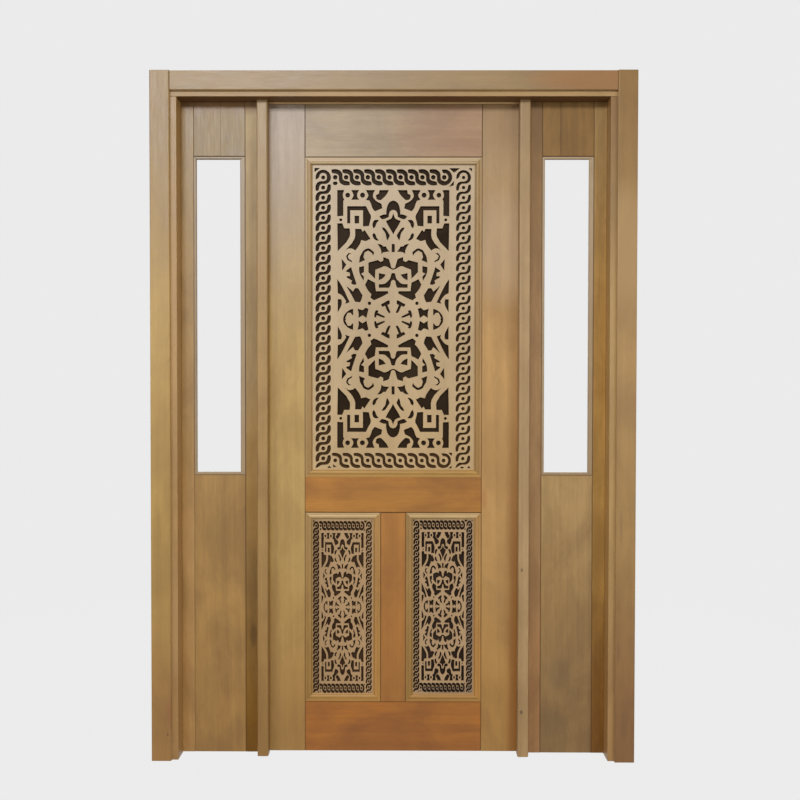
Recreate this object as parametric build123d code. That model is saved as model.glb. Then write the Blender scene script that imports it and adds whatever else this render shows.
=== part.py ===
from build123d import *
import os
from math import cos, radians, sin

# A carved entrance door with its frame and two sidelights, without the wall.
# Millimetres. X runs across the door to the right, Y goes from the front to the back, Z is up from the floor.

# Leaf
leaf_width = 820.0
leaf_height = 2100.0
leaf_thickness = 40.0
leaf_stile_width = 124.0
top_rail_height = 171.0
middle_rail_height = 115.0
bottom_rail_height = 162.0
lower_opening_height = 618.0
muntin_width = 82.0
leaf_shoulder = 12.0

# Infill of the leaf's openings, from the front backwards
moulding_width = 24.0
moulding_depth = 8.0
moulding_fillet = 9.0
moulding_step = 2.0
fretwork_thickness = 8.0
leaf_glass_thickness = 4.0
infill_clearance = 1.5

# Gaps round the leaf
floor_gap = 5.0
head_gap = 3.0
side_gap = 3.0
stop_clearance = 1.0

# Frame
sidelight_width = 248.0
post_width = 35.0
post_projection = 25.0
post_chamfer = 3.0
leaf_overlap = 8.0
stop_height = 6.0
stop_thickness = 7.0
jamb_depth = 100.0
jamb_thickness = 35.0
jamb_edge = 20.0
head_edge = 17.0
casing_width = 63.0
casing_thickness = 10.0
casing_chamfer = 2.0
head_casing_drop = 2.0

# Sidelights
sidelight_thickness = 22.0
sidelight_stile_width = 41.0
sidelight_rail_height = 174.0
sidelight_floor_gap = 4.0
sill_height = 908.0
sidelight_shoulder = 6.0
bead_width = 9.0
bead_depth = 5.0
bead_chamfer = 2.0
sidelight_glass_thickness = 4.0
pane_clearance = 1.5

# Hinges
hinge_height = 100.0
hinge_plate_width = 30.0
hinge_plate_thickness = 2.0
knuckle_radius = 6.0
knuckle_gap = 0.5
pin_radius = 3.5
pin_clearance = 0.05
barrel_sides = 12
top_hinge_inset = 180.0
bottom_hinge_inset = 230.0

# Planes from the front to the back
overall_depth = casing_thickness + jamb_depth + knuckle_gap + 2 * knuckle_radius
casing_front = -overall_depth / 2
jamb_front = casing_front + casing_thickness
frame_back = jamb_front + jamb_depth
leaf_front = frame_back - leaf_thickness
stop_back = leaf_front - stop_clearance
stop_front = stop_back - stop_thickness
post_front = stop_front - post_projection

# Levels and side planes
leaf_bottom = floor_gap
leaf_top = leaf_bottom + leaf_height
head_underside = leaf_top + head_gap
frame_top = head_underside + head_edge + casing_width
leaf_edge = leaf_width / 2
opening_edge = leaf_edge - leaf_stile_width
post_rebate = leaf_edge + side_gap
post_inner = leaf_edge - leaf_overlap
post_outer = post_inner + post_width
jamb_inner = post_outer + sidelight_width
jamb_outer = jamb_inner + jamb_thickness
casing_inner = jamb_inner + jamb_edge
casing_outer = casing_inner + casing_width

# The fretwork's border: rows and columns of linked rings, as shares of the pattern's half width and half height
column_centre_share = 0.874
column_half_share = 0.101
column_top_share = 0.934
column_bottom_share = -0.922
column_rings = 29
row_centre_share = 0.935
row_half_share = 0.0535
row_start_share = -0.723
row_end_share = 0.633
row_rings = 11
window_half_width_share = 0.697
window_half_height_share = 0.85

# One S-shaped slot between two rings: shares of the pitch along the border and of the border's width across it.
# The second half of each outline is the first half turned about the slot's middle.
slot_half_shares = [(-0.34, 0.43), (0.45, 0.42), (0.66, -0.03)]
plain_slot_half_shares = [(-0.30, 0.46), (0.62, 0.10)]

# The arabesque is drawn on squared paper, counted from the window's centre outwards and upwards.
squares_across = 56.5
squares_up = 128.5

# Holes that lie wholly within one quarter of the window
quarter_shares = [
    [(56, 128), (49.5, 128), (51, 123), (50.5, 103), (56, 102.5)],
    [(42.5, 128), (34.5, 128), (36.5, 123.5), (34.5, 119), (42.5, 119), (40, 123.5)],
    [(27.5, 128), (18.5, 128), (20.5, 122), (12, 115), (11, 110.5), (18.5, 107.5), (24, 118)],
    [(14, 128), (4.5, 128), (12.5, 118.5), (17.5, 122)],
    [(46.5, 112.5), (27.5, 112.5), (22.5, 102.5), (24.5, 93), (30.5, 92.5), (30.5, 108.5), (43.5, 108.5), (45, 95.5)],
    [(39, 103), (34.5, 103), (34.5, 95.5), (39, 95.5)],
    [(56, 95.5), (51.5, 95.5), (44, 89), (44, 82.5), (55.5, 68)],
    [(38.5, 90), (29.5, 88), (23, 80), (32.5, 79), (38.5, 68.5), (48.5, 68.5), (39, 80.5)],
    [(14.5, 98.5), (19.5, 98), (21, 93.5), (17, 95.5)],
    [(20, 86), (20, 81), (14.5, 78.5)],
    [(11.5, 91.5), (6, 88), (3.5, 83.5), (6.5, 79)],
    [(16, 75), (9, 72.5), (4, 67.5), (12, 65), (12.5, 69.5)],
    [(34.5, 56.5), (33, 64), (27, 70.5), (19.5, 65), (26, 67.5), (28.5, 59)],
    [(42, 65.5), (47, 65), (47.5, 61), (41.5, 56.5), (45.5, 62.5)],
    [(52, 60), (47.5, 54.5), (51.5, 48.5)],
    [(42.5, 52), (37, 35), (42.5, 36), (47.5, 42), (43.5, 43.5), (47.5, 48)],
    [(34.5, 52), (29.5, 53), (32, 45.5), (29.5, 40), (34, 46)],
    [(14.5, 46), (7.5, 44.5), (14.5, 39)],
    [(25.5, 40), (18.5, 36.5), (17.5, 28), (5, 27), (19.5, 19), (28.5, 34.5)],
    [(56, 40), (44, 17), (48.5, 15.5), (55.5, 26)],
    [(55.5, 20), (52.5, 20), (52, 15.5), (55.5, 7)],
    [(47.5, 33.5), (40.5, 27.5), (37, 31), (31, 24), (33.5, 17), (38.5, 17.5)],
    [(36, 10.5), (31, 9), (25, 10.5), (27, 1.5), (31, 4), (35, 1.5)],
]
# Round holes: centre and radius
round_shares = [((46, 123.5), 2.4), ((31, 123.5), 2.4)]
round_hole_sides = 6
# Right halves of the holes that straddle the window's upright axis
upright_shares = [
    [(0, 118), (7, 107), (14, 102.5), (4.5, 103), (0, 109)],
    [(0, 105), (7.5, 98), (0, 84.5)],
    [(1.5, 75), (1.5, 67)],
    [(0, 51), (4.5, 60), (10, 62), (12, 57.5), (25, 56.5), (25, 47), (18.5, 40.5), (17, 50.5), (0, 49.5)],
    [(1.5, 46), (4, 39), (14.5, 35), (14.5, 31.5), (4.5, 31.5), (0, 39.5)],
]
# Upper half of the hole that straddles the window's level axis
level_shares = [[(50, 3), (46, 8), (40.5, 10.5), (42, 5), (46.5, 5)]]
# The wheel's T-shaped slots: turn from upright in degrees, then radii and half widths
wheel_turns = (24.0, 71.0)
wheel_rim_shares = (16.8, 19.2)
wheel_stem_end_share = 7.5
wheel_stem_half_share = 0.9
wheel_bar_turn = 13.0

# The small panels carry the same design with fewer corners
plain_quarter_shares = [
    [(56, 128), (50, 128), (50.5, 103), (56, 102.5)],
    [(26.5, 128), (19, 128), (12, 115), (18.5, 107.5)],
    [(46.5, 112.5), (27.5, 112.5), (22.5, 102.5), (27, 92.5), (31, 108.5)],
    [(56, 95.5), (44, 90.5), (44, 82.5), (55.5, 68)],
    [(38.5, 90), (29, 89), (23, 80), (38.5, 68.5), (48.5, 68.5)],
    [(25.5, 40), (5.5, 27), (19.5, 19), (28.5, 34.5)],
    [(47.5, 33.5), (35.5, 31), (31, 24), (37, 17.5)],
]
plain_upright_shares = [
    [(0, 118), (14, 102.5), (4, 103), (0, 109)],
    [(0, 105), (7.5, 98), (0, 84.5)],
    [(0, 52), (4.5, 60), (25, 56.5), (18.5, 41), (17, 49.5)],
]


def plank(left, right, front, back, bottom, top):
    middle = Pos((left + right) / 2, (front + back) / 2, (bottom + top) / 2)
    return middle * Box(right - left, back - front, top - bottom)


def upright(section, bottom, top):
    outline = Wire.make_polygon([(x, y, bottom) for x, y in section])
    return Solid.extrude(Face(outline), Vector(0, 0, top - bottom))


def rebated_board(left, right, bottom, top, planes, grow):
    """A board whose back half reaches further than its front half on each side by grow: left, right, bottom, top."""
    front, shoulder, back = planes
    face = plank(left, right, front, shoulder, bottom, top)
    heel = plank(left - grow[0], right + grow[1], shoulder, back, bottom - grow[2], top + grow[3])
    return face + heel


def mitred_bar(profile, length):
    """A bar along X whose outer edge is at Z = 0; profile points are (distance inwards, depth)."""
    outline = Wire.make_polygon([(-length / 2, depth, inwards) for inwards, depth in profile])
    bar = Solid.extrude(Face(outline), Vector(length, 0, 0))
    for side in (-1, 1):
        mitre = Plane(origin=(side * length / 2, 0, 0), z_dir=(-side, 0, -1))
        bar = split(bar, bisect_by=mitre, keep=Keep.TOP)
    return bar


def bar_ring(name, sides, profile, centre_x, centre_z, width, height, front):
    """Four mitred bars round an opening, named for its sides: bottom, top, left, right."""
    bottom, top, left, right = sides
    level = mitred_bar(profile, width)
    standing = mitred_bar(profile, height)
    return {
        f"{name}_{bottom}": Pos(centre_x, front, centre_z - height / 2) * level,
        f"{name}_{top}": Pos(centre_x, front, centre_z + height / 2) * Rot(0, 180, 0) * level,
        f"{name}_{left}": Pos(centre_x - width / 2, front, centre_z) * Rot(0, 90, 0) * standing,
        f"{name}_{right}": Pos(centre_x + width / 2, front, centre_z) * Rot(0, -90, 0) * standing,
    }


def casing():
    """Flat boards with eased front edges, planted on the frame's front; the legs run past the head."""
    def leg(side):
        inner, outer = side * casing_inner, side * casing_outer
        ease = side * casing_chamfer
        return upright([
            (inner, jamb_front),
            (inner, casing_front + casing_chamfer),
            (inner + ease, casing_front),
            (outer - ease, casing_front),
            (outer, casing_front + casing_chamfer),
            (outer, jamb_front),
        ], 0, frame_top)

    head_bottom = frame_top - casing_width
    head = plank(-casing_inner, casing_inner, casing_front, jamb_front, head_bottom, frame_top - head_casing_drop)
    lower_edge = head.edges().filter_by(Axis.X).group_by(Axis.Z)[0].sort_by(Axis.Y)[0]
    return {
        "casing_left": leg(-1),
        "casing_right": leg(1),
        "casing_head": chamfer(lower_edge, casing_chamfer),
    }


def jambs():
    head_top = head_underside + jamb_thickness
    return {
        "jamb_left": plank(-jamb_outer, -jamb_inner, jamb_front, frame_back, 0, head_underside),
        "jamb_right": plank(jamb_inner, jamb_outer, jamb_front, frame_back, 0, head_underside),
        "jamb_head": plank(-jamb_outer, jamb_outer, jamb_front, frame_back, head_underside, head_top),
        "head_stop": plank(-post_inner, post_inner, stop_front, stop_back,
                           head_underside - stop_height, head_underside),
    }


def hinge_levels():
    top = leaf_top - top_hinge_inset
    bottom = leaf_bottom + bottom_hinge_inset
    return {"top": top, "middle": (top + bottom) / 2, "bottom": bottom}


def hinge_mortises(wood, face_x, inwards):
    """Recesses, open at the back, that let the hinge plates in flush with a face at X = face_x."""
    deep = face_x + inwards * hinge_plate_thickness
    for level in hinge_levels().values():
        wood -= plank(min(face_x, deep), max(face_x, deep), frame_back - hinge_plate_width, frame_back,
                      level - hinge_height / 2, level + hinge_height / 2)
    return wood


def posts():
    """Posts beside the leaf: an eased front bar, rebated behind so that the leaf shuts against it."""
    def post(side):
        inner, outer, rebate = side * post_inner, side * post_outer, side * post_rebate
        ease = side * post_chamfer
        return upright([
            (inner + ease, post_front),
            (outer - ease, post_front),
            (outer, post_front + post_chamfer),
            (outer, frame_back),
            (rebate, frame_back),
            (rebate, stop_back),
            (inner, stop_back),
            (inner, post_front + post_chamfer),
        ], 0, head_underside)

    return {"post_left": hinge_mortises(post(-1), -post_rebate, -1), "post_right": post(1)}


def sidelight(name, side):
    """Stiles, a top rail, a flush lower panel and a pane held by four beads."""
    shoulder = stop_front + bead_depth + sidelight_glass_thickness
    planes = (stop_front, shoulder, stop_front + sidelight_thickness)
    window_top = head_underside - sidelight_rail_height
    low, high = sorted((side * post_outer, side * jamb_inner))
    window_low, window_high = low + sidelight_stile_width, high - sidelight_stile_width
    lip = sidelight_shoulder
    stile_low = rebated_board(low, window_low, sidelight_floor_gap, head_underside, planes, (0, lip, 0, 0))
    stile_high = rebated_board(window_high, high, sidelight_floor_gap, head_underside, planes, (lip, 0, 0, 0))
    outer_first = side < 0
    width, height = window_high - window_low, window_top - sill_height
    centre_x, centre_z = (window_low + window_high) / 2, (sill_height + window_top) / 2
    bead = [
        (0, 0),
        (bead_width - bead_chamfer, 0),
        (bead_width, bead_chamfer),
        (bead_width, bead_depth),
        (0, bead_depth),
    ]
    sides = ("bottom", "top", "outer", "inner") if outer_first else ("bottom", "top", "inner", "outer")
    made = {
        f"{name}_outer_stile": stile_low if outer_first else stile_high,
        f"{name}_inner_stile": stile_high if outer_first else stile_low,
        f"{name}_top_rail": rebated_board(window_low, window_high, window_top, head_underside, planes,
                                          (-lip, -lip, lip, 0)),
        f"{name}_panel": rebated_board(window_low, window_high, sidelight_floor_gap, sill_height, planes,
                                       (-lip, -lip, 0, lip)),
        f"{name}_glass": plank(window_low + pane_clearance, window_high - pane_clearance,
                               shoulder - sidelight_glass_thickness, shoulder,
                               sill_height + pane_clearance, window_top - pane_clearance),
    }
    made.update(bar_ring(f"{name}_bead", sides, bead, centre_x, centre_z, width, height, stop_front))
    return made


def leaf_levels():
    bottom_rail_top = leaf_bottom + bottom_rail_height
    middle_rail_bottom = bottom_rail_top + lower_opening_height
    middle_rail_top = middle_rail_bottom + middle_rail_height
    return bottom_rail_top, middle_rail_bottom, middle_rail_top, leaf_top - top_rail_height


def leaf_shoulder_plane():
    return leaf_front + moulding_depth + fretwork_thickness + leaf_glass_thickness


def leaf_frame():
    """Two stiles, three rails and a muntin, shouldered behind to seat the infill."""
    planes = (leaf_front, leaf_shoulder_plane(), frame_back)
    bottom_rail_top, middle_rail_bottom, middle_rail_top, top_rail_bottom = leaf_levels()
    lip = leaf_shoulder
    hinge_stile = rebated_board(-leaf_edge, -opening_edge, leaf_bottom, leaf_top, planes, (0, lip, 0, 0))
    muntin_edge = muntin_width / 2

    def rail(bottom, top, grow_bottom, grow_top):
        return rebated_board(-opening_edge, opening_edge, bottom, top, planes, (-lip, -lip, grow_bottom, grow_top))

    return {
        "leaf_hinge_stile": hinge_mortises(hinge_stile, -leaf_edge, 1),
        "leaf_closing_stile": rebated_board(opening_edge, leaf_edge, leaf_bottom, leaf_top, planes, (lip, 0, 0, 0)),
        "leaf_top_rail": rail(top_rail_bottom, leaf_top, lip, 0),
        "leaf_middle_rail": rail(middle_rail_bottom, middle_rail_top, lip, lip),
        "leaf_bottom_rail": rail(leaf_bottom, bottom_rail_top, 0, lip),
        "leaf_muntin": rebated_board(-muntin_edge, muntin_edge, bottom_rail_top, middle_rail_bottom, planes,
                                     (lip, lip, -lip, -lip)),
    }


def turned_about_middle(half):
    """An S-shaped slot's whole outline from its first half."""
    return half + [(1 - along, -across) for along, across in half]


def border_holes(half_width, half_height, slot_half):
    """Slots of the two columns and two rows of linked rings, all leaning the same way."""
    slot = turned_about_middle(slot_half)
    holes = []
    top, bottom = column_top_share * half_height, column_bottom_share * half_height
    pitch = (bottom - top) / (column_rings - 1)
    for side in (-1, 1):
        middle = side * column_centre_share * half_width
        for ring in range(column_rings - 1):
            start = top + ring * pitch
            holes.append([(middle + across * 2 * column_half_share * half_width, start + along * pitch)
                          for along, across in slot])
    start_x, end_x = row_start_share * half_width, row_end_share * half_width
    pitch = (end_x - start_x) / (row_rings - 1)
    for side in (-1, 1):
        middle = side * row_centre_share * half_height
        for ring in range(row_rings - 1):
            start = start_x + ring * pitch
            holes.append([(start + along * pitch, middle + across * 2 * row_half_share * half_height)
                          for along, across in slot])
    return holes


def wheel_slot(turn):
    """One T-shaped slot of the middle wheel, in squares from the window's centre."""
    inner, outer = wheel_rim_shares

    def at(radius, degrees, sideways):
        angle = radians(turn + degrees)
        return (radius * sin(angle) + sideways * cos(angle), radius * cos(angle) - sideways * sin(angle))

    return [
        at(outer, -wheel_bar_turn, 0),
        at(outer, wheel_bar_turn, 0),
        at(inner, wheel_bar_turn, 0),
        at(inner, 0, wheel_stem_half_share),
        at(wheel_stem_end_share, 0, 0),
        at(inner, 0, -wheel_stem_half_share),
        at(inner, -wheel_bar_turn, 0),
    ]


def round_hole(centre, radius):
    step = radians(360 / round_hole_sides)
    return [(centre[0] + radius * cos(k * step), centre[1] + radius * sin(k * step)) for k in range(round_hole_sides)]


def window_holes(quarters, uprights, levels):
    """The whole window's holes in squares: quarters four times, axis holes mirrored about their own axis."""
    signs = (1, -1)
    holes = [[(sx * x, sz * z) for x, z in hole] for hole in quarters for sx in signs for sz in signs]
    for half in uprights:
        whole = half + [(-x, z) for x, z in reversed(half) if x > 0]
        holes += [[(x, sz * z) for x, z in whole] for sz in signs]
    for half in levels:
        whole = half + [(x, -z) for x, z in reversed(half)]
        holes += [[(sx * x, z) for x, z in whole] for sx in signs]
    return holes


def fretwork(centre_x, centre_z, width, height, plain):
    """A pierced plate behind a moulding, in an opening of this width and height."""
    front = leaf_front + moulding_depth
    half_width, half_height = width / 2 - moulding_width, height / 2 - moulding_width
    if plain:
        holes = window_holes(plain_quarter_shares, plain_upright_shares, [])
    else:
        rounds = [round_hole(*hole) for hole in round_shares]
        slots = [wheel_slot(turn) for turn in wheel_turns]
        holes = window_holes(quarter_shares + rounds + slots, upright_shares, level_shares)
    square_x = window_half_width_share * half_width / squares_across
    square_z = window_half_height_share * half_height / squares_up
    holes = [[(x * square_x, z * square_z) for x, z in hole] for hole in holes]
    holes += border_holes(half_width, half_height, plain_slot_half_shares if plain else slot_half_shares)
    edge_x, edge_z = width / 2 - infill_clearance, height / 2 - infill_clearance
    rim = [(-edge_x, -edge_z), (edge_x, -edge_z), (edge_x, edge_z), (-edge_x, edge_z)]

    def outline(points):
        return Wire.make_polygon([(centre_x + x, front, centre_z + z) for x, z in points])

    plate = Face(outline(rim), [outline(hole) for hole in holes])
    return Solid.extrude(plate, Vector(0, fretwork_thickness, 0))


def leaf_infill():
    """In each opening of the leaf: four mitred mouldings, a fretwork and a pane."""
    bottom_rail_top, middle_rail_bottom, middle_rail_top, top_rail_bottom = leaf_levels()
    lower_width = opening_edge - muntin_width / 2
    lower_x = muntin_width / 2 + lower_width / 2
    lower_z = (bottom_rail_top + middle_rail_bottom) / 2
    upper_z = (middle_rail_top + top_rail_bottom) / 2
    upper_height = top_rail_bottom - middle_rail_top
    openings = {
        "upper": (0, upper_z, 2 * opening_edge, upper_height),
        "lower_left": (-lower_x, lower_z, lower_width, lower_opening_height),
        "lower_right": (lower_x, lower_z, lower_width, lower_opening_height),
    }
    profile = [
        (0, 0),
        (moulding_fillet, 0),
        (moulding_fillet + moulding_step, moulding_step),
        (moulding_width, moulding_depth - moulding_step),
        (moulding_width, moulding_depth),
        (0, moulding_depth),
    ]
    shoulder = leaf_shoulder_plane()
    made = {}
    for name, (x, z, width, height) in openings.items():
        made.update(bar_ring(f"{name}_moulding", ("bottom", "top", "left", "right"), profile,
                             x, z, width, height, leaf_front))
        made[f"{name}_fretwork"] = fretwork(x, z, width, height, name != "upper")
        edge_x, edge_z = width / 2 - infill_clearance, height / 2 - infill_clearance
        made[f"{name}_glass"] = plank(x - edge_x, x + edge_x, shoulder - leaf_glass_thickness, shoulder,
                                      z - edge_z, z + edge_z)
    return made


def hinges():
    """Lift-off hinges: the frame's half carries the lower knuckle and the pin, the leaf's half the upper knuckle."""
    axis_x, axis_y = -(leaf_edge + side_gap / 2), frame_back + knuckle_gap + knuckle_radius
    step = radians(360 / barrel_sides)
    corner = 1 / cos(step / 2)
    bore_radius = pin_radius * corner + pin_clearance

    def rod(radius, bottom, top):
        """A rod of many flats that lie this radius from its axis, one of them facing the back."""
        turns = [(side + 1 / 2) * step for side in range(barrel_sides)]
        section = [(axis_x + radius * corner * sin(t), axis_y + radius * corner * cos(t)) for t in turns]
        return upright(section, bottom, top)

    def half(low_x, high_x, level, bottom, top, bore):
        plate = plank(low_x, high_x, frame_back - hinge_plate_width, frame_back,
                      level - hinge_height / 2, level + hinge_height / 2)
        tab = plank(low_x, high_x, frame_back, axis_y, bottom, top)
        return plate + tab + rod(knuckle_radius, bottom, top) - rod(bore, bottom, top)

    made, pins = {}, []
    for name, level in hinge_levels().items():
        bottom, top = level - hinge_height / 2, level + hinge_height / 2
        split_low, split_high = level - knuckle_gap / 2, level + knuckle_gap / 2
        made[f"hinge_{name}_frame_half"] = half(-post_rebate - hinge_plate_thickness, -post_rebate, level,
                                                bottom, split_low, pin_radius)
        made[f"hinge_{name}_leaf_half"] = half(-leaf_edge, -leaf_edge + hinge_plate_thickness, level,
                                               split_high, top, bore_radius)
        pins.append(rod(pin_radius, bottom, top))
    made["hinge_pins"] = Compound(children=pins)
    return made


def main():
    os.makedirs("parts", exist_ok=True)
    made = {}
    for piece in (casing(), jambs(), posts(), sidelight("sidelight_left", -1), sidelight("sidelight_right", 1),
                  leaf_frame(), leaf_infill(), hinges()):
        made.update(piece)
    for name, shape in made.items():
        export_step(shape, f"parts/{name}.step")


main()
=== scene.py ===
from math import cos, degrees, radians, sin

import bmesh
import bpy
from mathutils import Matrix, Vector


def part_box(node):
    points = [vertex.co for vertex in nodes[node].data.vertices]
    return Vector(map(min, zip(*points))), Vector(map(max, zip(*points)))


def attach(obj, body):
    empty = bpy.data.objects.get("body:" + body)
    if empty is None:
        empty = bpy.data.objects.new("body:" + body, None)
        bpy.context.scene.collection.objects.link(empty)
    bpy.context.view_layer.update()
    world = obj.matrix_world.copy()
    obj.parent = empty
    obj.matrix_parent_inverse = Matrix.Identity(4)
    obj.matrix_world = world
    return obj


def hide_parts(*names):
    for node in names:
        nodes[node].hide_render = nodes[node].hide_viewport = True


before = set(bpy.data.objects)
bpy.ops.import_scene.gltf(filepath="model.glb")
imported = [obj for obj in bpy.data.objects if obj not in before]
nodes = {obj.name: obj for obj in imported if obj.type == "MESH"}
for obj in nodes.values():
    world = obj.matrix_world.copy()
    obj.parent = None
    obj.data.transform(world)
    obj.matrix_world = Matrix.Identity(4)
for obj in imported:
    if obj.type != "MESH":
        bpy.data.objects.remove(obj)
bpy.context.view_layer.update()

# A carved entrance door with sidelights. Metres; X across, Y from front to back, Z up from the floor.
mm = 0.001

# Heights between which a board's tone changes
foot_to_waist, waist_to_crown, foot_to_crown = (0.05, 0.85), (1.3, 2.1), (0.1, 2.0)
# Dark line of a joint: half its width, where it has faded, and the depths between which it stops showing
seam_core, seam_fade = 1.0 * mm, 2.7 * mm
seam_front, seam_back = 14 * mm, 18 * mm
# Tones of a joint's line, of the painted shade beside a post, of the warm patches and of the backdrop
seam_tone, painted_shade_tone, warm_tone, backdrop = "432A12", "8A5508", "FFF2D8", "EBEBEB"
board_ease, bead_ease = 1.1 * mm, 0.6 * mm
# Heights between which the painted shade beside a post fades, and the gloss of most boards
painted_shade_heights, usual_gloss = (0.2, 1.7), 0.6


# Finishes

def tone(code):
    """A colour as a maker's swatch writes it, for a shader socket."""
    def linear(part):
        share = int(part, 16) / 255
        return share / 12.92 if share <= 0.04045 else ((share + 0.055) / 1.055) ** 2.4
    return (linear(code[0:2]), linear(code[2:4]), linear(code[4:6]), 1.0)


class Finish:
    """A material and short ways to add its nodes."""

    def __init__(self, name):
        self.material = bpy.data.materials.new(name)
        self.material.use_nodes = True
        self.tree = self.material.node_tree
        self.surface = self.tree.nodes["Principled BSDF"]
        coordinates = self.add("ShaderNodeTexCoord")
        self.where, self.normal = coordinates.outputs["Object"], coordinates.outputs["Normal"]

    def add(self, kind, **settings):
        node = self.tree.nodes.new(kind)
        for key, value in settings.items():
            setattr(node, key, value)
        return node

    def put(self, value, socket):
        if isinstance(value, bpy.types.NodeSocket):
            self.tree.links.new(value, socket)
        else:
            socket.default_value = value

    def sum(self, operation, first, second=0.0, third=0.0):
        node = self.add("ShaderNodeMath", operation=operation)
        for value, socket in zip((first, second, third), node.inputs):
            self.put(value, socket)
        return node.outputs[0]

    def blend(self, share, first, second, kind="MIX"):
        node = self.add("ShaderNodeMix", data_type="RGBA", blend_type=kind)
        self.put(share, node.inputs[0])
        self.put(first, node.inputs[6])
        self.put(second, node.inputs[7])
        return node.outputs[2]

    def spread(self, value, low, high, to_low=0.0, to_high=1.0, kind="SMOOTHSTEP"):
        node = self.add("ShaderNodeMapRange", interpolation_type=kind)
        for number, socket in zip((value, low, high, to_low, to_high), node.inputs):
            self.put(number, socket)
        return node.outputs[0]

    def place(self, scale, shift=(0, 0, 0), turn=(0, 0, 0)):
        node = self.add("ShaderNodeMapping")
        self.put(self.where, node.inputs[0])
        self.put(shift, node.inputs[1])
        self.put(turn, node.inputs[2])
        self.put(scale, node.inputs[3])
        return node.outputs[0]

    def noise(self, at, scale, detail=2.0, rough=0.5, warp=0.0):
        node = self.add("ShaderNodeTexNoise")
        self.put(at, node.inputs["Vector"])
        for key, value in (("Scale", scale), ("Detail", detail), ("Roughness", rough), ("Distortion", warp)):
            self.put(value, node.inputs[key])
        return node.outputs[0]

    def axis(self, letter):
        node = self.add("ShaderNodeSeparateXYZ")
        self.put(self.where, node.inputs[0])
        return node.outputs["XYZ".index(letter)]

    def bump(self, height, strength, distance):
        node = self.add("ShaderNodeBump")
        self.put(height, node.inputs["Height"])
        self.put(strength, node.inputs["Strength"])
        self.put(distance, node.inputs["Distance"])
        self.put(node.outputs[0], self.surface.inputs["Normal"])

    def set(self, **sockets):
        for key, value in sockets.items():
            self.put(value, self.surface.inputs[key.replace("_", " ")])
        return self.material


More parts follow.
